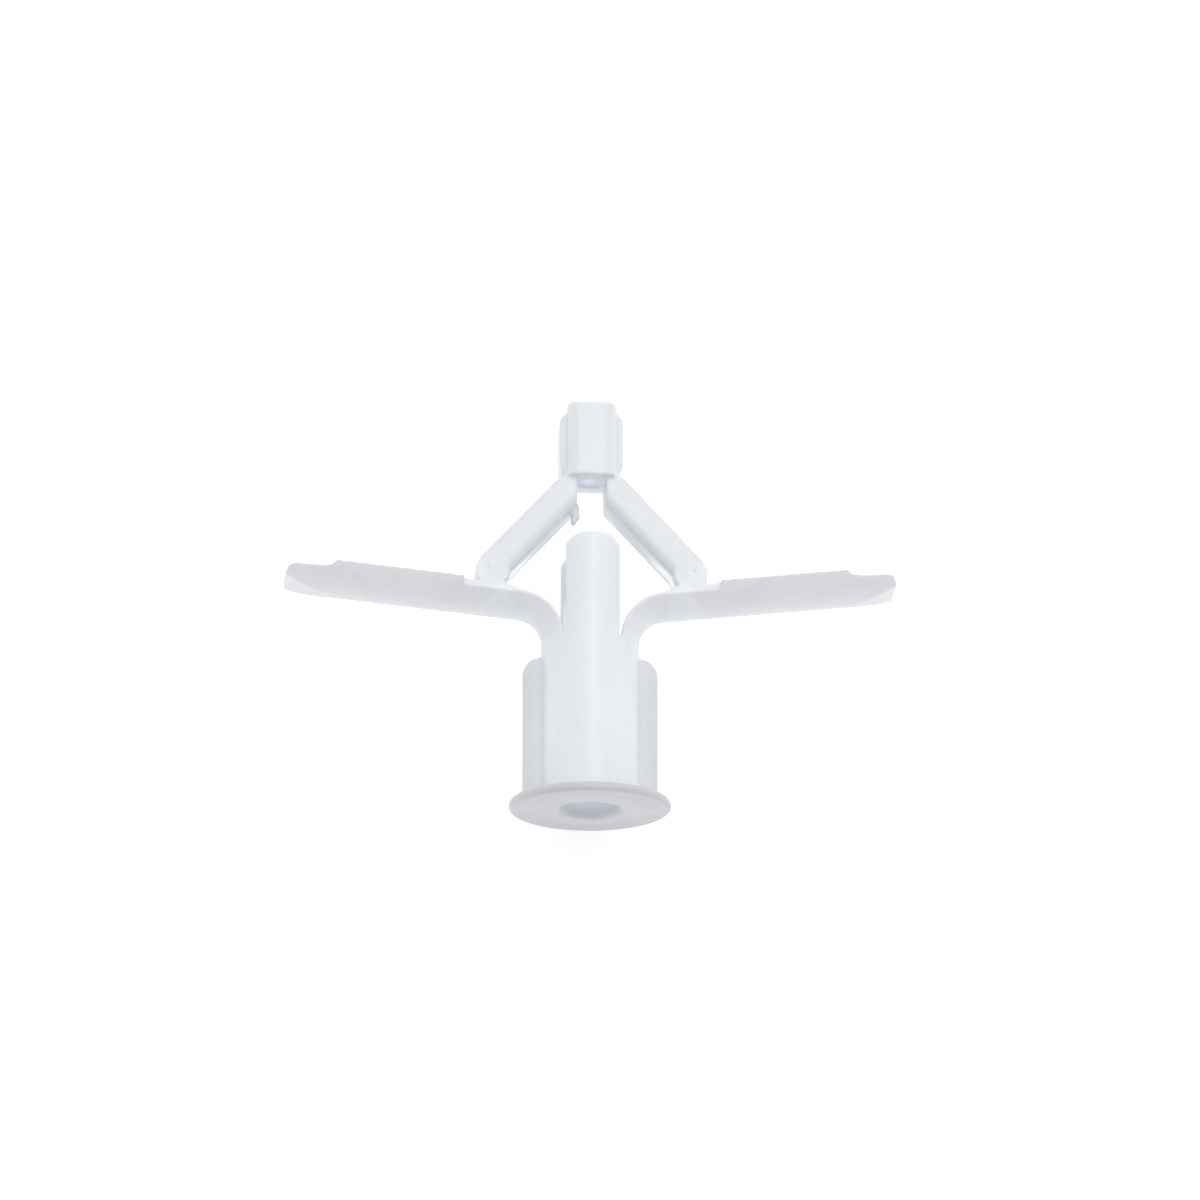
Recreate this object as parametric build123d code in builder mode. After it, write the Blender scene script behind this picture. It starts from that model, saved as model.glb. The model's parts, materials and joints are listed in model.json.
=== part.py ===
"""Plastic toggle anchor for hollow walls, shown open, as it sits behind the wall.

One nylon moulding: a flanged barrel with two side fins and two tongues, two arms that swing out from
the barrel's mouth, and two struts that carry the screw nose. Living hinges join them. Each feature
and each hinge is a solid of its own.

Frame, in millimetres: +Y runs along the screw axis into the wall, X across the two arms, +Z up.
The origin is the centre of the flange's wall-side face.
"""
from build123d import *
from math import acos, cos, degrees, radians, sin, sqrt, tan
import os

# Barrel, flange and fins
BARREL_R = 4.0
BORE_R = 2.35
FLANGE_R = 6.6
FLANGE_T = 0.8
FLANGE_EDGE_R = 0.34
COUNTERSINK = 0.35
FIN_REACH = 5.5
FIN_TOP = 11.9
FIN_CORNER_R = 1.5
FIN_ROOT_HALF = 0.7
FIN_EDGE_HALF = 0.45

# Slits that part the barrel wall into two tongues and two arms, seen along the axis
SLIT_X = 2.4
SLIT_Z = 3.2
SLIT_ANGLE = 39.0
SLIT_GAP = 0.26
MOUTH_Y = 13.1

# Tongues
TONGUE_TOP = 21.7
TONGUE_INNER_Z = 2.5
TONGUE_HALF = 2.42
TONGUE_CORNER_R = 1.9

# Arms. u runs along an arm from its bend, v from its outer wall towards the strut.
BEND_R = 2.2
ARM_RISE = 6.0
ARM_LENGTH = 19.15
RIM_V = 2.15
HINGE_RIM_V = 1.65
RIM_RAMP_U = 1.2
TIP_RIM_V = 1.75
TIP_STEP_U = 15.5
TIP_CURVE_U = 15.2
TIP_CURVE_R = 10.5
TIP_END_RIM_V = 1.5
TIP_END_R = 0.32
TIP_CORNER_R = 1.7
SLIT_END_U = 4.7
BLOCK_START_U = 1.6
CHANNEL_V = 1.2
CHANNEL_HALF = 2.4

# Struts and their two necks
STRUT_ANGLE = 47.0
STRUT_W = 2.58
STRUT_HALF_DEPTH = 2.15
STRUT_FOLDED_X = 1.35
STRUT_EDGE_R = 0.8
STRUT_FOOT_LIFT = 0.38
NECK_T = 0.74
ELBOW_U = 2.1
ELBOW_BEND_R = 1.38
NOSE_PIVOT_OFFSET = 0.36
NOSE_NECK_BACK = 0.35
STRUT_INNER_X = 1.18

# Nose
NOSE_Y = 26.8
NOSE_TOP = 33.0
NOSE_HALF_X = 2.0
NOSE_HALF_Z = 2.85
NOSE_CORNER_R = 0.9
KEEL_HALF_X = 2.6
KEEL_HALF_Z = 1.8
KEEL_START = 27.0
KEEL_TOP = 32.4
KEEL_CORNER_R = 1.0
KEEL_FOOT_R = 1.0
PILOT_R = 1.1
ARCH_R = 0.4
NOSE_NECK_OUTER_X = 2.45


def turned(point, angle):
    """A point turned about the origin, anticlockwise, in degrees."""
    c, s = cos(radians(angle)), sin(radians(angle))
    return point[0] * c - point[1] * s, point[0] * s + point[1] * c


def pivot(start, end, angle):
    """The centre about which turning by angle carries start to end."""
    dx, dy = end[0] - start[0], end[1] - start[1]
    reach = 0.5 / tan(radians(angle / 2))
    return (start[0] + end[0]) / 2 - dy * reach, (start[1] + end[1]) / 2 + dx * reach


def slit_z(x, side):
    """Height of the slit's face at x: side +1 on the tongue, -1 on the arm."""
    slope = tan(radians(SLIT_ANGLE))
    return SLIT_Z + (x - SLIT_X) * slope + side * SLIT_GAP / 2 / cos(radians(SLIT_ANGLE))


# Where the parts stand when the anchor is open
arm_turn = 90 - ARM_RISE
bend_centre = (BARREL_R + BEND_R, MOUTH_Y)
arm_dir = turned((1, 0), ARM_RISE)
bend_spoke = turned((0, BEND_R), ARM_RISE)
arm_start = (bend_centre[0] + bend_spoke[0], bend_centre[1] + bend_spoke[1])


def on_arm(u, v):
    """The X and Y of a point of the open right arm."""
    du, dv = turned((u, v), ARM_RISE)
    return arm_start[0] + du, arm_start[1] + dv


# The root hinge keeps the length of the wall's middle line as it straightens.
mid_v = (BARREL_R - BORE_R) / 2
root_length = (BEND_R + mid_v) * radians(arm_turn)
root_pivot = pivot(on_arm(0, mid_v), (BARREL_R - mid_v, MOUTH_Y + root_length), arm_turn)

# The elbow's neck curls from the arm into the strut and straightens to the same length.
strut_turn = 180 - STRUT_ANGLE - ARM_RISE
neck_v = RIM_V - NECK_T / 2
curl_centre = (ELBOW_U, neck_v + ELBOW_BEND_R)
curl_spoke = turned((0, -ELBOW_BEND_R), strut_turn)
curl_end = (curl_centre[0] + curl_spoke[0], curl_centre[1] + curl_spoke[1])
elbow_length = ELBOW_BEND_R * radians(strut_turn)
elbow_uv = pivot((ELBOW_U + elbow_length, neck_v), curl_end, strut_turn)
elbow_pivot = on_arm(*elbow_uv)

# The strut's own line: s towards the nose, t outwards from its middle
strut_dir = turned((-1, 0), -STRUT_ANGLE)
strut_out = (sin(radians(STRUT_ANGLE)), cos(radians(STRUT_ANGLE)))
neck_t = BARREL_R - STRUT_FOLDED_X - neck_v
strut_foot = on_arm(*curl_end)
strut_start = (strut_foot[0] - neck_t * strut_out[0], strut_foot[1] - neck_t * strut_out[1])


def on_strut(s, t):
    """The X and Y of a point of the open right strut, measured from the middle of its foot."""
    return (
        strut_start[0] + s * strut_dir[0] + t * strut_out[0],
        strut_start[1] + s * strut_dir[1] + t * strut_out[1],
    )


# The nose hinge: the strut turns upright while the nose keeps to the axis.
nose_turn = 90 - STRUT_ANGLE
upright_s = (strut_start[0] - STRUT_FOLDED_X) / cos(radians(STRUT_ANGLE))
crossing = on_strut(upright_s, 0)
pivot_rise = NOSE_PIVOT_OFFSET * tan(radians(nose_turn / 2))
nose_pivot = (crossing[0] + NOSE_PIVOT_OFFSET, crossing[1] + pivot_rise)
pivot_from_start = (nose_pivot[0] - strut_start[0], nose_pivot[1] - strut_start[1])
pivot_s = pivot_from_start[0] * strut_dir[0] + pivot_from_start[1] * strut_dir[1]
strut_end_s = pivot_s - NOSE_NECK_BACK
half_w = STRUT_W / 2
foot_t = neck_t - ELBOW_BEND_R
foot_r = half_w + foot_t

# The strut's foot is round beside the neck, and lifted a little so that it rolls clear of the arm.
# The strut's inner corner is cut back to leave the screw's way clear.
trim_t = (STRUT_INNER_X - on_strut(strut_end_s, 0)[0]) / strut_out[0]
trim_s = (STRUT_INNER_X - on_strut(0, -half_w)[0]) / strut_dir[0]

# The tongue's foot follows the slits, and the arm's rim follows them from the mouth.
tongue_slope_run = (BARREL_R - TONGUE_INNER_Z) / tan(radians(SLIT_ANGLE))
tongue_foot_x = SLIT_X - (slit_z(SLIT_X, 1) - TONGUE_INNER_Z) / tan(radians(SLIT_ANGLE))
hinge_rim_x = BARREL_R - HINGE_RIM_V

# The arm's outer wall curves up to its tip.
tip_run = ARM_LENGTH - TIP_CURVE_U
tip_v = TIP_CURVE_R - sqrt(TIP_CURVE_R**2 - tip_run**2)
tip_sweep = degrees(acos((TIP_CURVE_R - tip_v) / TIP_CURVE_R))
tip_rise = RIM_V - TIP_RIM_V
rim_half_depth = sqrt(BARREL_R**2 - (BARREL_R - RIM_V) ** 2)
beyond = 2 * BARREL_R

arm_side = Plane(origin=(*arm_start, 0), x_dir=(*arm_dir, 0), z_dir=(0, 0, 1))
arm_plan = Plane(origin=arm_side.origin, x_dir=arm_side.x_dir, z_dir=arm_side.y_dir)
arm_section = Plane(origin=arm_side.origin, x_dir=(0, 0, -1), z_dir=(*arm_dir, 0))
strut_section = Plane(origin=(*strut_start, 0), x_dir=(*strut_out, 0), z_dir=(*strut_dir, 0))


def mirrored(part):
    """The left-hand twin of a right-hand piece."""
    with BuildPart() as twin:
        add(mirror(part, about=Plane.YZ))
    return twin.part


def keep(part, name):
    """Names a piece and writes it to its own file."""
    part.label = name
    export_step(part, f"parts/{name}.step")


with BuildPart() as flange:
    with BuildSketch(Plane.XY) as rim:
        with BuildLine():
            Polyline(
                (BORE_R, 0),
                (FLANGE_R, 0),
                (FLANGE_R, -FLANGE_T),
                (BORE_R + COUNTERSINK, -FLANGE_T),
                (BORE_R, COUNTERSINK - FLANGE_T),
                close=True,
            )
        make_face()
        fillet(rim.vertices().group_by(Axis.X)[-1], radius=FLANGE_EDGE_R)
    revolve(axis=Axis.Y)

with BuildPart() as barrel:
    with BuildSketch(Plane.XZ):
        Circle(BARREL_R)
        Circle(BORE_R, mode=Mode.SUBTRACT)
    extrude(amount=-MOUTH_Y)

with BuildPart() as right_fin:
    with BuildSketch(Plane.XZ):
        with BuildLine():
            Polyline(
                (BORE_R, FIN_ROOT_HALF),
                (FIN_REACH, FIN_EDGE_HALF),
                (FIN_REACH, -FIN_EDGE_HALF),
                (BORE_R, -FIN_ROOT_HALF),
                close=True,
            )
        make_face()
    extrude(amount=-FIN_TOP)
    fillet(right_fin.edges().group_by(Axis.Y)[-1].sort_by(Axis.X)[-1], radius=FIN_CORNER_R)
    with BuildSketch(Plane.XZ):
        Circle(BARREL_R)
    extrude(amount=-FIN_TOP, mode=Mode.SUBTRACT)

with BuildPart() as upper_tongue:
    with BuildSketch(Plane.XZ.offset(-MOUTH_Y)):
        with BuildLine():
            Polyline(
                (-tongue_foot_x, TONGUE_INNER_Z),
                (tongue_foot_x, TONGUE_INNER_Z),
                (tongue_foot_x + tongue_slope_run, BARREL_R),
                (-tongue_foot_x - tongue_slope_run, BARREL_R),
                close=True,
            )
        make_face()
        Circle(BARREL_R, mode=Mode.INTERSECT)
    extrude(amount=MOUTH_Y - TONGUE_TOP)
    with BuildSketch(Plane.XY) as outline:
        with BuildLine():
            Polyline(
                (-TONGUE_HALF, MOUTH_Y),
                (TONGUE_HALF, MOUTH_Y),
                (TONGUE_HALF, TONGUE_TOP),
                (-TONGUE_HALF, TONGUE_TOP),
                close=True,
            )
        make_face()
        fillet(outline.vertices().group_by(Axis.Y)[-1], radius=TONGUE_CORNER_R)
    extrude(amount=BARREL_R, mode=Mode.INTERSECT)

with BuildPart() as right_root_hinge:
    with BuildSketch(Plane.XZ.offset(-MOUTH_Y)):
        with BuildLine():
            Polyline(
                (hinge_rim_x, -slit_z(hinge_rim_x, -1)),
                (BARREL_R, -slit_z(BARREL_R, -1)),
                (BARREL_R, slit_z(BARREL_R, -1)),
                (hinge_rim_x, slit_z(hinge_rim_x, -1)),
                close=True,
            )
        make_face()
        Circle(BARREL_R, mode=Mode.INTERSECT)
        Circle(BORE_R, mode=Mode.SUBTRACT)
    revolve(axis=Axis((bend_centre[0], bend_centre[1], 0), (0, 0, -1)), revolution_arc=arm_turn)

with BuildPart() as right_arm:
    with BuildSketch(arm_section):
        with Locations((0, BARREL_R)):
            Circle(BARREL_R)
        Rectangle(beyond, RIM_V, align=(Align.CENTER, Align.MIN), mode=Mode.INTERSECT)
    extrude(amount=ARM_LENGTH)
    with BuildSketch(arm_side) as side_outline:
        with BuildLine():
            Line((0, 0), (TIP_CURVE_U, 0))
            CenterArc((TIP_CURVE_U, TIP_CURVE_R), TIP_CURVE_R, -90, tip_sweep)
            Polyline(
                (ARM_LENGTH, tip_v),
                (ARM_LENGTH, TIP_END_RIM_V),
                (TIP_STEP_U, TIP_RIM_V),
                (TIP_STEP_U - tip_rise, RIM_V),
                (RIM_RAMP_U, RIM_V),
                (0, HINGE_RIM_V),
                (0, 0),
            )
        make_face()
        fillet(side_outline.vertices().group_by(Axis.X)[-1], radius=TIP_END_R)
    extrude(amount=BARREL_R, both=True, mode=Mode.INTERSECT)
    with BuildSketch(arm_section):
        for side in (-1, 1):
            with BuildLine():
                Polyline(
                    (side * slit_z(BARREL_R, -1), 0),
                    (side * slit_z(BARREL_R - RIM_V, -1), RIM_V),
                    (side * beyond, RIM_V),
                    (side * beyond, 0),
                    close=True,
                )
            make_face()
    extrude(amount=SLIT_END_U, mode=Mode.SUBTRACT)
    with BuildSketch(arm_section):
        with Locations((0, BARREL_R)):
            Circle(BORE_R)
    extrude(amount=BLOCK_START_U, mode=Mode.SUBTRACT)
    with BuildSketch(arm_side):
        with Locations((ELBOW_U, CHANNEL_V)):
            Rectangle(ARM_LENGTH, BARREL_R, align=(Align.MIN, Align.MIN))
    extrude(amount=CHANNEL_HALF, both=True, mode=Mode.SUBTRACT)
    with BuildSketch(arm_plan) as plan_outline:
        with Locations((ARM_LENGTH / 2, 0)):
            Rectangle(ARM_LENGTH, 2 * rim_half_depth)
        fillet(plan_outline.vertices().group_by(Axis.X)[-1], radius=TIP_CORNER_R)
    extrude(amount=beyond, mode=Mode.INTERSECT)

with BuildPart() as right_elbow_hinge:
    with BuildSketch(arm_side):
        with BuildLine():
            inner = CenterArc(curl_centre, ELBOW_BEND_R - NECK_T / 2, -90, strut_turn)
            outer = CenterArc(curl_centre, ELBOW_BEND_R + NECK_T / 2, -90, strut_turn)
            Line(inner @ 0, outer @ 0)
            Line(inner @ 1, outer @ 1)
        make_face()
    extrude(amount=STRUT_HALF_DEPTH, both=True)

with BuildPart() as right_strut:
    with BuildSketch(Plane.XY):
        with BuildLine():
            Polyline(
                on_strut(STRUT_FOOT_LIFT, -half_w),
                on_strut(0, foot_t + foot_r),
                on_strut(0, half_w),
                on_strut(strut_end_s, half_w),
                on_strut(strut_end_s, trim_t),
                on_strut(trim_s, -half_w),
                close=True,
            )
        make_face()
        with Locations(on_strut(STRUT_FOOT_LIFT, foot_t)):
            Circle(foot_r)
    extrude(amount=STRUT_HALF_DEPTH, both=True)
    with BuildSketch(strut_section) as section:
        Rectangle(STRUT_W, 2 * STRUT_HALF_DEPTH)
        fillet(section.vertices().group_by(Axis.X)[0], radius=STRUT_EDGE_R)
    extrude(amount=ARM_LENGTH, both=True, mode=Mode.INTERSECT)

with BuildPart() as right_nose_hinge:
    with BuildSketch(Plane.XY):
        with BuildLine():
            Polyline(
                (STRUT_INNER_X - ARCH_R, NOSE_Y),
                (NOSE_NECK_OUTER_X, NOSE_Y),
                on_strut(strut_end_s, half_w),
                on_strut(strut_end_s, trim_t),
                (STRUT_INNER_X, NOSE_Y - ARCH_R),
            )
            CenterArc((STRUT_INNER_X - ARCH_R, NOSE_Y - ARCH_R), ARCH_R, 0, 90)
        make_face()
    extrude(amount=STRUT_HALF_DEPTH, both=True)
    with BuildSketch(Plane.XZ.offset(-NOSE_Y)):
        Circle(PILOT_R)
    extrude(amount=ARCH_R, mode=Mode.SUBTRACT)

with BuildPart() as nose:
    with BuildSketch(Plane.XZ.offset(-NOSE_Y)):
        RectangleRounded(2 * NOSE_HALF_X, 2 * NOSE_HALF_Z, NOSE_CORNER_R)
    extrude(amount=NOSE_Y - NOSE_TOP)
    with BuildSketch(Plane.XY) as keels:
        with Locations((0, (KEEL_START + KEEL_TOP) / 2)):
            Rectangle(2 * KEEL_HALF_X, KEEL_TOP - KEEL_START)
        fillet(keels.vertices().group_by(Axis.Y)[-1], radius=KEEL_CORNER_R)
        fillet(keels.vertices().group_by(Axis.Y)[0], radius=KEEL_FOOT_R)
    extrude(amount=KEEL_HALF_Z, both=True)
    with BuildSketch(Plane.XZ.offset(-NOSE_Y)):
        Circle(PILOT_R)
    extrude(amount=NOSE_Y - NOSE_TOP, mode=Mode.SUBTRACT)

os.makedirs("parts", exist_ok=True)
keep(flange.part, "flange")
keep(barrel.part, "barrel")
keep(upper_tongue.part, "upper_tongue")
keep(mirror(upper_tongue.part, about=Plane.XY), "lower_tongue")
keep(nose.part, "nose")
right_pieces = {
    "fin": right_fin,
    "root_hinge": right_root_hinge,
    "arm": right_arm,
    "elbow_hinge": right_elbow_hinge,
    "strut": right_strut,
    "nose_hinge": right_nose_hinge,
}
for piece_name, piece in right_pieces.items():
    keep(piece.part, f"right_{piece_name}")
    keep(mirrored(piece.part), f"left_{piece_name}")

print("root pivot", root_pivot, "turn", arm_turn)
print("elbow pivot", elbow_pivot, "turn", strut_turn)
print("nose pivot", nose_pivot, "turn", nose_turn)
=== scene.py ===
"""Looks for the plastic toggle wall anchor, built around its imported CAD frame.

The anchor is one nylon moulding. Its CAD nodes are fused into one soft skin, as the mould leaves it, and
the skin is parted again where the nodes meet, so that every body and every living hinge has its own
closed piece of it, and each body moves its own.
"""
import bmesh
import bpy
import json
import math
import numpy as np
from mathutils import Matrix, Vector
from mathutils.bvhtree import BVHTree


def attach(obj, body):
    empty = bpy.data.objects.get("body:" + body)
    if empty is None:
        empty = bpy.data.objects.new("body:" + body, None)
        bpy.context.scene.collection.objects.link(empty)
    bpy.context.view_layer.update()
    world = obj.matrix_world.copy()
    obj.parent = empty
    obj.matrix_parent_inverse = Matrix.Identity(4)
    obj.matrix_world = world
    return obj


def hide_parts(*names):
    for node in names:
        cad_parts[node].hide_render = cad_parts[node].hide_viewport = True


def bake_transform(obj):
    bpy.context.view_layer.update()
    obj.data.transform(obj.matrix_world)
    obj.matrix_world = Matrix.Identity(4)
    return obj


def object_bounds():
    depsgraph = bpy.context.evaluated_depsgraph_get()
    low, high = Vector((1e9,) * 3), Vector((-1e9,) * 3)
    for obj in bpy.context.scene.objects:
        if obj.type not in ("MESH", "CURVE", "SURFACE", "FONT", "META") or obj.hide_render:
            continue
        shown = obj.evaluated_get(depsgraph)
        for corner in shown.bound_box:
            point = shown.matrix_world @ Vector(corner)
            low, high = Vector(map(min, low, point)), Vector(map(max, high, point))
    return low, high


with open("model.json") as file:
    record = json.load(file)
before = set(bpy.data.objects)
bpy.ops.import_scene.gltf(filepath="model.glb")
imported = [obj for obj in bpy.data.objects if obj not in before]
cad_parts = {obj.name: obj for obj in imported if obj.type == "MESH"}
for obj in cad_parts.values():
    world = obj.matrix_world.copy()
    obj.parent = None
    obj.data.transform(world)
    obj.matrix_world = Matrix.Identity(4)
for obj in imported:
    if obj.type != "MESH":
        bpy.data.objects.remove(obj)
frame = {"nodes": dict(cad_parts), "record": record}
cad_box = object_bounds()
MM = 0.001
SIDES = ("left", "right")

# The skin's voxel and its rounds of smoothing, with all sizes here in millimetres
VOXEL = 0.12
SMOOTH_FACTOR = 0.5
SMOOTHING = 6
# How far a seam lies inside its hinge, how far around its face it cuts, and what counts as touching
SEAM_INSET = 0.12
SEAM_REACH = 0.45
TOUCHING = 0.01
CUT_SNAP = 1e-4
# How far from the skin a CAD node is looked for, and how often scraps are handed over
NEAR_NODE = 0.6
SPECK_PASSES = 6

# The flash nib's lumps: centre, and half the size along each axis, in millimetres
NIB_LUMPS = (
    ((-1.38, 24.35, 0.9), (0.46, 0.62, 0.55)),
    ((-1.20, 23.75, 0.8), (0.34, 0.42, 0.45)),
    ((-1.42, 23.35, 0.8), (0.26, 0.40, 0.40)),
)

# How far the elbow's core stands back from its sides, and reaches into the curl, in millimetres
CORE_RECESS = 0.02
CORE_OVERLAP = 0.1

# How far inwards a wall's thickness and outwards its shelter are felt for, from just off the skin, in
# millimetres, and the lean of the inward rays around the straight one
THICK_WALL = 3.2
SHELTER_REACH = 14.0
START_INSIDE = 0.02
START_OUTSIDE = 0.05
RAY_TILT = 0.5
# How far each of these nodes is darkened by painted shade, towards the grey below. They are darkened by name
# to match the photograph, because the painted shade and glow from the thickness and shelter marks left them
# too pale.
PAINTED_SHADE_BY_NODE = {
    "flange": 1.0, "left_fin": 0.6, "right_fin": 0.6, "left_strut": 0.3, "right_strut": 0.3, "nose": 0.2,
}
# The grey that the painted shade by node name reaches at its darkest
DARKEST_PAINTED_SHADE = 0.72
# Where a thickness mark's painted shade turns from thin to thick, where a shelter mark's painted glow starts,
# and how far marks spread
THIN_WALL_MARK = 0.33
THICK_WALL_MARK = 0.58
DEEP_SHELTER = 0.7
LIGHT_BLUR = 24

# The nylon everywhere
NYLON_IOR = 1.53
# The colour of the painted glow in deep shelter
GLOW_COLOUR = (0.95, 0.96, 1.0, 1)
# The darkest and palest of its clouds, its noises' scales, and how high its marks stand, in metres
CLOUD_SHADES = (0.955, 0.955, 0.96), (1.0, 1.0, 1.0)
FLOW_SCALE = 420.0
SCUFF_SCALE = 900.0
GRAIN_SCALE = 7000.0
SINK_HEIGHT = 0.00012
GRAIN_HEIGHT = 0.00003
# Each slot's colour where the wall is thin and thick, greyer where thin as painted shade, its range of
# roughness, and its painted glow in deep shelter
SLOTS = {
    "moulding": {
        "thin": (0.795, 0.805, 0.83), "thick": (0.84, 0.86, 0.89), "roughness": (0.28, 0.42), "glow": 0.31,
    },
    "hinge_web": {
        "thin": (0.81, 0.82, 0.845), "thick": (0.84, 0.86, 0.89), "roughness": (0.32, 0.48), "glow": 0.31,
    },
}

# Each light's name, direction, distance and size in metres, and power in watts
LIGHTS = (
    ("key", (0.08, 0.32, 0.94), 0.6, (0.16, 0.80), 1.15),
    ("right_fill", (0.85, 0.40, 0.45), 0.7, (0.40, 0.40), 0.26),
    ("left_fill", (-0.85, 0.40, 0.45), 0.7, (0.40, 0.40), 0.06),
)
# The surround's colour, and its brightness beyond the flange and beyond the nose
SURROUND_COLOUR = (0.97, 0.985, 1.0, 1)
SURROUND = (0.60, 0.86)

# The right nose hinge's rounded outer side, in millimetres, and the wall thickness that its painted shade
# takes
KNUCKLE_R = 0.90
KNUCKLE_HALF_DEPTH = 1.95
KNUCKLE_EDGE_R = 0.15
KNUCKLE_FLAT_X = 1.3
KNUCKLE_THICKNESS = 0.5

# The camera, in degrees and millimetres
CAMERA_YAW = -4.0
CAMERA_TILT = 16.0
CAMERA_DISTANCE = 1000.0
VIEW_WIDTH = 97.6
VIEW_TARGET = Vector((0.0, 17.0, 0.0))
VIEW_SHIFT = (0.81, -0.04)
SENSOR_WIDTH = 36.0

# The floor: its size and its gap below the flange in metres, its colour, roughness and glow
FLOOR_SIZE = 6.0
FLOOR_GAP = 0.0004
FLOOR_COLOUR = (0.92, 0.92, 0.92, 1)
FLOOR_ROUGHNESS = 0.9
FLOOR_GLOW = 0.35


def millimetre_mesh(nodes):
    """The CAD nodes' meshes together, in millimetres."""
    bm = bmesh.new()
    for name in nodes:
        bm.from_mesh(frame["nodes"][name].data)
    bmesh.ops.scale(bm, vec=(1 / MM, 1 / MM, 1 / MM), verts=bm.verts)
    return bm


def evaluated(mesh, *modifiers):
    """The mesh after these modifiers, each a type and its settings."""
    holder = bpy.data.objects.new("holder", mesh)
    bpy.context.scene.collection.objects.link(holder)
    for kind, settings in modifiers:
        modifier = holder.modifiers.new(kind, kind)
        for key, value in settings.items():
            setattr(modifier, key, value)
    graph = bpy.context.evaluated_depsgraph_get()
    result = bpy.data.meshes.new_from_object(holder.evaluated_get(graph))
    bpy.data.objects.remove(holder)
    return result


def flash_nib(bm):
    """A ragged scrap of mould flash on the left strut's inner edge, as three lumps that run together."""
    for centre, half_size in NIB_LUMPS:
        place = Matrix.Translation(centre) @ Matrix.Diagonal((*half_size, 1))
        bmesh.ops.create_icosphere(bm, subdivisions=3, radius=1.0, matrix=place)


def elbow_core(bm, side):
    """Plastic that fills the inside of an elbow's curl, so that the strut's foot looks like one round end."""
    first, second = [s for s in seams if s.hinge == f"{side}_elbow_hinge"]
    # Both ends of the curl lie on spokes through its centre.
    spokes = np.array([first.normal.xy, second.normal.xy])
    reach = [first.normal.xy.dot(first.face.xy), second.normal.xy.dot(second.face.xy)]
    centre = Vector((*np.linalg.solve(spokes, reach), 0))
    points = nodes[f"{side}_elbow_hinge"].points
    inner = np.hypot(points[:, 0] - centre.x, points[:, 1] - centre.y).min()
    half_depth = points[:, 2].max() - CORE_RECESS
    bmesh.ops.create_cone(
        bm, cap_ends=True, segments=64, radius1=inner + CORE_OVERLAP, radius2=inner + CORE_OVERLAP,
        depth=2 * half_depth, matrix=Matrix.Translation(centre),
    )


def moulded_skin():
    """One smooth skin over every CAD node, in millimetres."""
    bm = millimetre_mesh(frame["nodes"])
    flash_nib(bm)
    for side in SIDES:
        elbow_core(bm, side)
    rough = bpy.data.meshes.new("rough_skin")
    bm.to_mesh(rough)
    bm.free()
    return evaluated(
        rough,
        ("REMESH", {"mode": "VOXEL", "voxel_size": VOXEL}),
        ("SMOOTH", {"factor": SMOOTH_FACTOR, "iterations": SMOOTHING}),
    )


class Node:
    """A CAD node's surface, for measuring how near the skin is to it."""

    def __init__(self, name):
        bm = millimetre_mesh([name])
        self.tree = BVHTree.FromBMesh(bm)
        self.points = np.array([v.co for v in bm.verts])
        self.low = self.points.min(0)
        self.high = self.points.max(0)
        bm.free()

    def distance(self, point):
        found = self.tree.find_nearest(point, NEAR_NODE)
        return found[3] if found[0] else math.inf


class Seam:
    """The flat face that a hinge shares with a rigid node, moved a little way into the hinge."""

    def __init__(self, hinge, rigid):
        touching = [p for p in nodes[hinge].points if nodes[rigid].distance(Vector(p)) < TOUCHING]
        touching += [p for p in nodes[rigid].points if nodes[hinge].distance(Vector(p)) < TOUCHING]
        points = np.array(touching)
        normal = np.linalg.svd(points - points.mean(0), full_matrices=False)[2][2]
        centre = (points.min(0) + points.max(0)) / 2
        middle = (nodes[hinge].low + nodes[hinge].high) / 2
        self.normal = Vector(normal * np.sign((middle - centre) @ normal))
        self.face = Vector(centre)
        self.centre = self.face + SEAM_INSET * self.normal
        self.low = points.min(0) - SEAM_REACH
        self.high = points.max(0) + SEAM_REACH
        self.rim = points + SEAM_INSET * np.array(self.normal)
        self.hinge = hinge
        self.rigid = rigid

    def holds(self, point):
        return all(self.low[i] < point[i] < self.high[i] for i in range(3))

    def owner(self, point):
        return self.hinge if (point - self.centre).dot(self.normal) > 0 else self.rigid


def cut_along(bm, seam):
    """Gives the skin edges along a seam, without parting it."""
    faces = [f for f in bm.faces if seam.holds(f.calc_center_median())]
    edges = {e for f in faces for e in f.edges}
    verts = {v for f in faces for v in f.verts}
    geometry = list(verts) + list(edges) + faces
    bmesh.ops.bisect_plane(bm, geom=geometry, dist=CUT_SNAP, plane_co=seam.centre, plane_no=seam.normal)


def nearest_node(point):
    """The CAD node whose surface is nearest to a point of the skin."""
    near = [
        name for name, node in nodes.items()
        if all(node.low[i] - NEAR_NODE < point[i] < node.high[i] + NEAR_NODE for i in range(3))
    ]
    return min(near, key=lambda name: nodes[name].distance(point))


def owner_of(point):
    """The CAD node that a point of the skin belongs to, with straight borders at the seams."""
    name = nearest_node(point)
    for seam in seams:
        if name in (seam.hinge, seam.rigid) and seam.holds(point):
            other = seam.rigid if name == seam.hinge else seam.hinge
            if nodes[other].distance(point) < nodes[name].distance(point) + 2 * SEAM_INSET:
                name = seam.owner(point)
    return name


def shells(faces):
    """These faces' connected groups."""
    left = set(faces)
    groups = []
    while left:
        group = [left.pop()]
        for face in group:
            for edge in face.edges:
                for near in edge.link_faces:
                    if near in left:
                        left.remove(near)
                        group.append(near)
        groups.append(group)
    return groups


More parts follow.
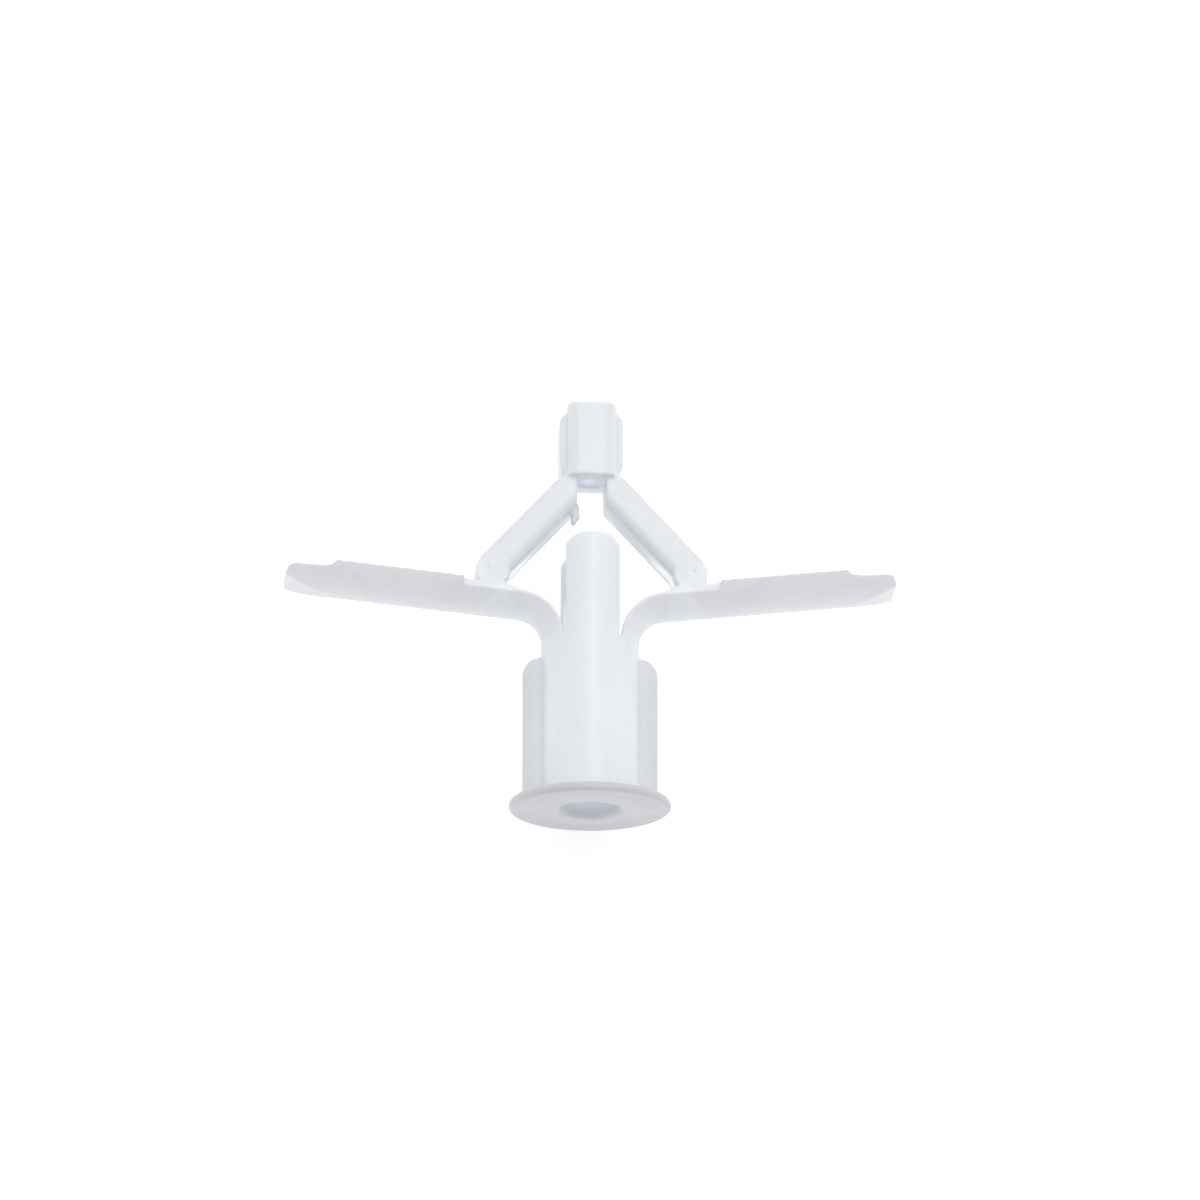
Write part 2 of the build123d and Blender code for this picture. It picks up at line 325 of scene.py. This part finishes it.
def absorb_specks(labels, bm):
    """Gives each scrap of a piece, and each tooth of its border, to the piece around it."""
    for _ in range(SPECK_PASSES):
        before = list(labels)
        for piece in PIECES:
            faces = [f for f in bm.faces if labels[f.index] == piece]
            scraps = sorted(shells(faces), key=len)[:-1]
            for group in scraps:
                around = [labels[n.index] for f in group for e in f.edges for n in e.link_faces]
                around = [name for name in around if name != piece]
                for face in group:
                    labels[face.index] = max(sorted(set(around)), key=around.count)
        # A tooth of a border has most of its neighbours in another piece.
        for face in bm.faces:
            around = [labels[n.index] for e in face.edges for n in e.link_faces if n != face]
            most = max(sorted(set(around)), key=around.count)
            if around.count(most) > len(around) / 2:
                labels[face.index] = most
        if labels == before:
            break


def drop_flaps(part):
    """Takes away each corner of the rim that the cap lies flat against or passes by."""
    corners = {}
    for face in part.faces:
        corners.setdefault(frozenset(face.verts), []).append(face)
    flaps = {f for faces in corners.values() if len(faces) > 1 for f in faces}
    flaps |= {f for f in part.faces if sum(e.is_boundary for e in f.edges) > 1}
    bmesh.ops.delete(part, geom=list(flaps), context="FACES")


def closed_piece(bm, labels, piece):
    """This piece of the skin as a mesh of its own, its cut ends closed with sharp-edged caps."""
    part = bm.copy()
    part.faces.ensure_lookup_table()
    others = [f for f in part.faces if labels[f.index] != piece]
    bmesh.ops.delete(part, geom=others, context="FACES")
    rims = [e for e in part.edges if e.is_boundary]
    for face in part.faces:
        face.smooth = True
    bmesh.ops.holes_fill(part, edges=rims, sides=0)
    for edge in rims:
        edge.smooth = False
    bmesh.ops.triangulate(part, faces=part.faces)
    drop_flaps(part)
    bmesh.ops.recalc_face_normals(part, faces=part.faces)
    bmesh.ops.scale(part, vec=(MM, MM, MM), verts=part.verts)
    mesh = bpy.data.meshes.new(piece)
    part.to_mesh(mesh)
    part.free()
    return mesh


def light_in_plastic(bm, owners):
    """Marks the skin's points with thickness, shelter and a painted shade listed by node name, each from 0 to
    1.
    """
    tree = BVHTree.FromBMesh(bm)
    bm.normal_update()
    bm.verts.index_update()
    marks = np.zeros((len(bm.verts), 3))
    for vert in bm.verts:
        sideways = vert.normal.orthogonal().normalized()
        across = vert.normal.cross(sideways)
        tilts = (sideways, -sideways, across, -across)
        wall = 0.0
        for ray in [-vert.normal] + [RAY_TILT * tilt - vert.normal for tilt in tilts]:
            hit = tree.ray_cast(vert.co - vert.normal * START_INSIDE, ray.normalized(), THICK_WALL)
            wall += hit[3] if hit[0] else THICK_WALL
        hidden = 0
        for ray in [vert.normal] + [tilt + vert.normal for tilt in tilts]:
            hit = tree.ray_cast(vert.co + vert.normal * START_OUTSIDE, ray.normalized(), SHELTER_REACH)
            hidden += hit[0] is not None
        # How far this point is darkened by the painted shade listed by node name
        named_shade = max(PAINTED_SHADE_BY_NODE.get(owners[face.index], 0) for face in vert.link_faces)
        marks[vert.index] = wall / (1 + len(tilts)) / THICK_WALL, hidden / (1 + len(tilts)), named_shade
    ends = np.array([[v.index for v in edge.verts] for edge in bm.edges])
    count = np.bincount(ends.ravel(), minlength=len(marks))
    for _ in range(LIGHT_BLUR):
        total = np.zeros_like(marks)
        np.add.at(total, ends[:, 0], marks[ends[:, 1]])
        np.add.at(total, ends[:, 1], marks[ends[:, 0]])
        marks = total / count[:, None]
    for column, name in enumerate(("thickness", "shelter", "painted_shade")):
        layer = bm.verts.layers.float.new(name)
        for vert in bm.verts:
            vert[layer] = marks[vert.index, column]


def nylon(slot):
    """Bluish white moulded nylon: soft gloss, faint flow marks, fine grain, painted shade that greys it where
    it is thin and on the nodes listed by name, and a painted glow in deep shelter.
    """
    settings = SLOTS[slot]
    material = bpy.data.materials.new(slot)
    material.use_nodes = True
    tree = material.node_tree
    shader = tree.nodes["Principled BSDF"]
    shader.inputs["IOR"].default_value = NYLON_IOR
    shader.inputs["Specular IOR Level"].default_value = 0.5

    def node(kind, **values):
        made = tree.nodes.new(kind)
        for key, value in values.items():
            made.inputs[key].default_value = value
        return made

    def ramp(source, low, high, low_colour, high_colour):
        made = tree.nodes.new("ShaderNodeValToRGB")
        made.color_ramp.elements[0].position = low
        made.color_ramp.elements[1].position = high
        made.color_ramp.elements[0].color = (*low_colour, 1)
        made.color_ramp.elements[1].color = (*high_colour, 1)
        tree.links.new(source, made.inputs["Fac"])
        return made.outputs["Color"]

    def times(first, second):
        made = tree.nodes.new("ShaderNodeMix")
        made.data_type = "RGBA"
        made.blend_type = "MULTIPLY"
        made.inputs["Factor"].default_value = 1.0
        tree.links.new(first, made.inputs["A"])
        tree.links.new(second, made.inputs["B"])
        return made.outputs["Result"]

    place = tree.nodes.new("ShaderNodeTexCoord").outputs["Object"]
    # Painted shade: thinner walls are painted greyer, standing in for the light that passes through them.
    thickness = tree.nodes.new("ShaderNodeAttribute")
    thickness.attribute_name = "thickness"
    body = ramp(
        thickness.outputs["Fac"], THIN_WALL_MARK, THICK_WALL_MARK, settings["thin"], settings["thick"],
    )

    # Milky clouds where the melt flowed, drawn out along the barrel's axis
    stretch = node("ShaderNodeMapping", Scale=(1.0, 0.35, 1.0))
    flow = node("ShaderNodeTexNoise", Scale=FLOW_SCALE, Detail=4.0, Roughness=0.55, Distortion=0.6)
    tree.links.new(place, stretch.inputs["Vector"])
    tree.links.new(stretch.outputs["Vector"], flow.inputs["Vector"])
    cloud = ramp(flow.outputs["Fac"], 0.3, 0.7, *CLOUD_SHADES)
    # Painted shade: the nodes listed by name are darkened towards a fixed grey.
    painted_shade = tree.nodes.new("ShaderNodeAttribute")
    painted_shade.attribute_name = "painted_shade"
    shade_by_name = ramp(painted_shade.outputs["Fac"], 0.0, 1.0, (1, 1, 1), (DARKEST_PAINTED_SHADE,) * 3)
    tree.links.new(times(times(body, cloud), shade_by_name), shader.inputs["Base Color"])

    # A painted glow, standing in for light that comes through the walls, fills the bore and the corners that
    # the anchor shelters.
    shelter = tree.nodes.new("ShaderNodeAttribute")
    shelter.attribute_name = "shelter"
    glow = tree.nodes.new("ShaderNodeMapRange")
    glow.inputs["From Min"].default_value = DEEP_SHELTER
    glow.inputs["To Max"].default_value = settings["glow"]
    tree.links.new(shelter.outputs["Fac"], glow.inputs["Value"])
    tree.links.new(glow.outputs["Result"], shader.inputs["Emission Strength"])
    shader.inputs["Emission Color"].default_value = GLOW_COLOUR

    # Handling marks vary the gloss, and a fine grain and shallow sink marks the surface.
    scuffs = node("ShaderNodeTexNoise", Scale=SCUFF_SCALE, Detail=5.0, Roughness=0.6)
    tree.links.new(place, scuffs.inputs["Vector"])
    gloss = tree.nodes.new("ShaderNodeMapRange")
    gloss.inputs["To Min"].default_value = settings["roughness"][0]
    gloss.inputs["To Max"].default_value = settings["roughness"][1]
    tree.links.new(scuffs.outputs["Fac"], gloss.inputs["Value"])
    tree.links.new(gloss.outputs["Result"], shader.inputs["Roughness"])
    grain = node("ShaderNodeTexNoise", Scale=GRAIN_SCALE, Detail=3.0, Roughness=0.5)
    tree.links.new(place, grain.inputs["Vector"])
    sink = node("ShaderNodeBump", Strength=0.35, Distance=SINK_HEIGHT)
    fine = node("ShaderNodeBump", Strength=0.12, Distance=GRAIN_HEIGHT)
    tree.links.new(flow.outputs["Fac"], sink.inputs["Height"])
    tree.links.new(grain.outputs["Fac"], fine.inputs["Height"])
    tree.links.new(sink.outputs["Normal"], fine.inputs["Normal"])
    tree.links.new(fine.outputs["Normal"], shader.inputs["Normal"])
    return material


def move(part, node):
    """Lets a piece ride on its body; a hinge in BENDS only has its place baked into its mesh."""
    if node not in BENDS:
        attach(part, body_of[node])
        return
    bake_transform(part)


def hidden_knuckle():
    """The rounded outer side of the right nose hinge, hidden until the strut folds up beside the nose."""
    pivot = Vector(joint_place["nose_hinge"]) * Vector((-1, 1, 1))
    bm = bmesh.new()
    bmesh.ops.create_cone(
        bm, cap_ends=True, segments=96, radius1=KNUCKLE_R * MM, radius2=KNUCKLE_R * MM,
        depth=2 * KNUCKLE_HALF_DEPTH * MM, matrix=Matrix.Translation(pivot),
    )
    ends = [e for e in bm.edges if any(len(f.verts) > 4 for f in e.link_faces)]
    bmesh.ops.bevel(bm, geom=ends, offset=KNUCKLE_EDGE_R * MM, segments=4, profile=0.5, affect="EDGES")
    flat = Vector((KNUCKLE_FLAT_X * MM, 0, 0))
    everything = bm.verts[:] + bm.edges[:] + bm.faces[:]
    made = bmesh.ops.bisect_plane(
        bm, geom=everything, plane_co=flat, plane_no=(-1, 0, 0), clear_outer=True,
    )
    rim = [g for g in made["geom_cut"] if isinstance(g, bmesh.types.BMEdge)]
    for face in bm.faces:
        face.smooth = len(face.verts) == 4
    bmesh.ops.holes_fill(bm, edges=rim, sides=0)
    bmesh.ops.recalc_face_normals(bm, faces=bm.faces)
    thickness = bm.verts.layers.float.new("thickness")
    # Shelter and painted shade marks of nought: no painted glow, and no painted shade by name
    for name in ("shelter", "painted_shade"):
        bm.verts.layers.float.new(name)
    for vert in bm.verts:
        vert[thickness] = KNUCKLE_THICKNESS
    mesh = bpy.data.meshes.new("right_nose_knuckle")
    bm.to_mesh(mesh)
    bm.free()
    knuckle = bpy.data.objects.new("right_nose_knuckle", mesh)
    bpy.context.scene.collection.objects.link(knuckle)
    mesh.materials.append(finish["hinge_web"])
    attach(knuckle, "nose")


def aimed(data, name, towards, distance):
    """A light or camera that looks at the anchor from this direction."""
    thing = bpy.data.objects.new(name, data)
    bpy.context.scene.collection.objects.link(thing)
    back = Vector(towards).normalized()
    right = Vector((0, 1, 0)).cross(back).normalized()
    up = back.cross(right)
    thing.rotation_euler = Matrix((right, up, back)).transposed().to_euler()
    thing.location = VIEW_TARGET * MM + back * distance
    return thing, right, up


def lights():
    """A white surround, brighter beyond the nose, a tall soft key light in front, and two weak fills."""
    world = bpy.data.worlds.new("surround")
    world.use_nodes = True
    world_nodes, links = world.node_tree.nodes, world.node_tree.links
    background = world_nodes["Background"]
    background.inputs["Color"].default_value = SURROUND_COLOUR
    split = world_nodes.new("ShaderNodeSeparateXYZ")
    links.new(world_nodes.new("ShaderNodeTexCoord").outputs["Generated"], split.inputs["Vector"])
    shade = world_nodes.new("ShaderNodeMapRange")
    shade.inputs["From Min"].default_value = -1.0
    shade.inputs["To Min"].default_value, shade.inputs["To Max"].default_value = SURROUND
    links.new(split.outputs["Y"], shade.inputs["Value"])
    links.new(shade.outputs["Result"], background.inputs["Strength"])
    bpy.context.scene.world = world
    for name, direction, distance, size, power in LIGHTS:
        lamp = bpy.data.lights.new(name, "AREA")
        lamp.shape = "RECTANGLE"
        lamp.size, lamp.size_y = size
        lamp.energy = power
        aimed(lamp, name, direction, distance)


def floor():
    """A pale, softly glowing sheet just under the flange's edge."""
    bm = bmesh.new()
    bmesh.ops.create_grid(bm, x_segments=8, y_segments=8, size=FLOOR_SIZE / 2)
    mesh = bpy.data.meshes.new("floor")
    bm.to_mesh(mesh)
    bm.free()
    sheet = bpy.data.objects.new("floor", mesh)
    bpy.context.scene.collection.objects.link(sheet)
    sheet.location.z = cad_box[0][2] - FLOOR_GAP
    material = bpy.data.materials.new("floor")
    material.use_nodes = True
    shader = material.node_tree.nodes["Principled BSDF"]
    shader.inputs["Base Color"].default_value = FLOOR_COLOUR
    shader.inputs["Roughness"].default_value = FLOOR_ROUGHNESS
    shader.inputs["Emission Color"].default_value = (1, 1, 1, 1)
    shader.inputs["Emission Strength"].default_value = FLOOR_GLOW
    mesh.materials.append(material)


def camera():
    """The photograph's view: from the flange's end, a little below and to the left."""
    yaw, tilt = math.radians(CAMERA_YAW), math.radians(CAMERA_TILT)
    towards = (math.sin(yaw) * math.cos(tilt), -math.sin(tilt), math.cos(yaw) * math.cos(tilt))
    lens = bpy.data.cameras.new("camera")
    lens.sensor_width = SENSOR_WIDTH
    lens.lens = SENSOR_WIDTH * CAMERA_DISTANCE / VIEW_WIDTH
    eye, right, up = aimed(lens, "camera", towards, CAMERA_DISTANCE * MM)
    eye.location += (VIEW_SHIFT[0] * right + VIEW_SHIFT[1] * up) * MM
    bpy.context.scene.camera = eye
    bpy.context.scene.view_settings.view_transform = "Standard"


PIECES = {
    "barrel_moulding": ["flange", "barrel", "left_fin", "right_fin", "upper_tongue", "lower_tongue"],
    "nose_block": ["nose"],
}
for side in SIDES:
    PIECES[f"{side}_root_bend"] = [f"{side}_root_hinge"]
    PIECES[f"{side}_wing"] = [f"{side}_arm"]
    PIECES[f"{side}_elbow_web"] = [f"{side}_elbow_hinge"]
    PIECES[f"{side}_link"] = [f"{side}_strut"]
    PIECES[f"{side}_nose_web"] = [f"{side}_nose_hinge"]

body_of = {name: body for body, names in frame["record"]["behaviour"]["bodies"].items() for name in names}
joint_place = {j["name"]: j["pos_m"] for j in frame["record"]["behaviour"]["joints"]}
BENDS = {"left_nose_hinge": ("left_strut", "nose")}
for side in SIDES:
    BENDS[f"{side}_root_hinge"] = ("barrel", f"{side}_arm")
    BENDS[f"{side}_elbow_hinge"] = (f"{side}_arm", f"{side}_strut")

nodes = {name: Node(name) for name in frame["nodes"]}
seams = []
for side in SIDES:
    seams += [
        Seam(f"{side}_root_hinge", "barrel"),
        Seam(f"{side}_root_hinge", f"{side}_arm"),
        Seam(f"{side}_elbow_hinge", f"{side}_arm"),
        Seam(f"{side}_elbow_hinge", f"{side}_strut"),
        Seam(f"{side}_nose_hinge", f"{side}_strut"),
        Seam(f"{side}_nose_hinge", "nose"),
    ]

whole = bmesh.new()
whole.from_mesh(moulded_skin())
for seam in seams:
    cut_along(whole, seam)
whole.faces.ensure_lookup_table()
whole.faces.index_update()
piece_of = {name: piece for piece, names in PIECES.items() for name in names}
owners = [owner_of(f.calc_center_median()) for f in whole.faces]
light_in_plastic(whole, owners)
labels = [piece_of[name] for name in owners]
absorb_specks(labels, whole)

finish = {slot: nylon(slot) for slot in SLOTS}
for piece, names in PIECES.items():
    part = bpy.data.objects.new(piece, closed_piece(whole, labels, piece))
    bpy.context.scene.collection.objects.link(part)
    slot = "hinge_web" if names[0].endswith("_hinge") else "moulding"
    part.data.materials.append(finish[slot])
    move(part, names[0])
    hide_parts(*names)
whole.free()
hidden_knuckle()

floor()
lights()
camera()
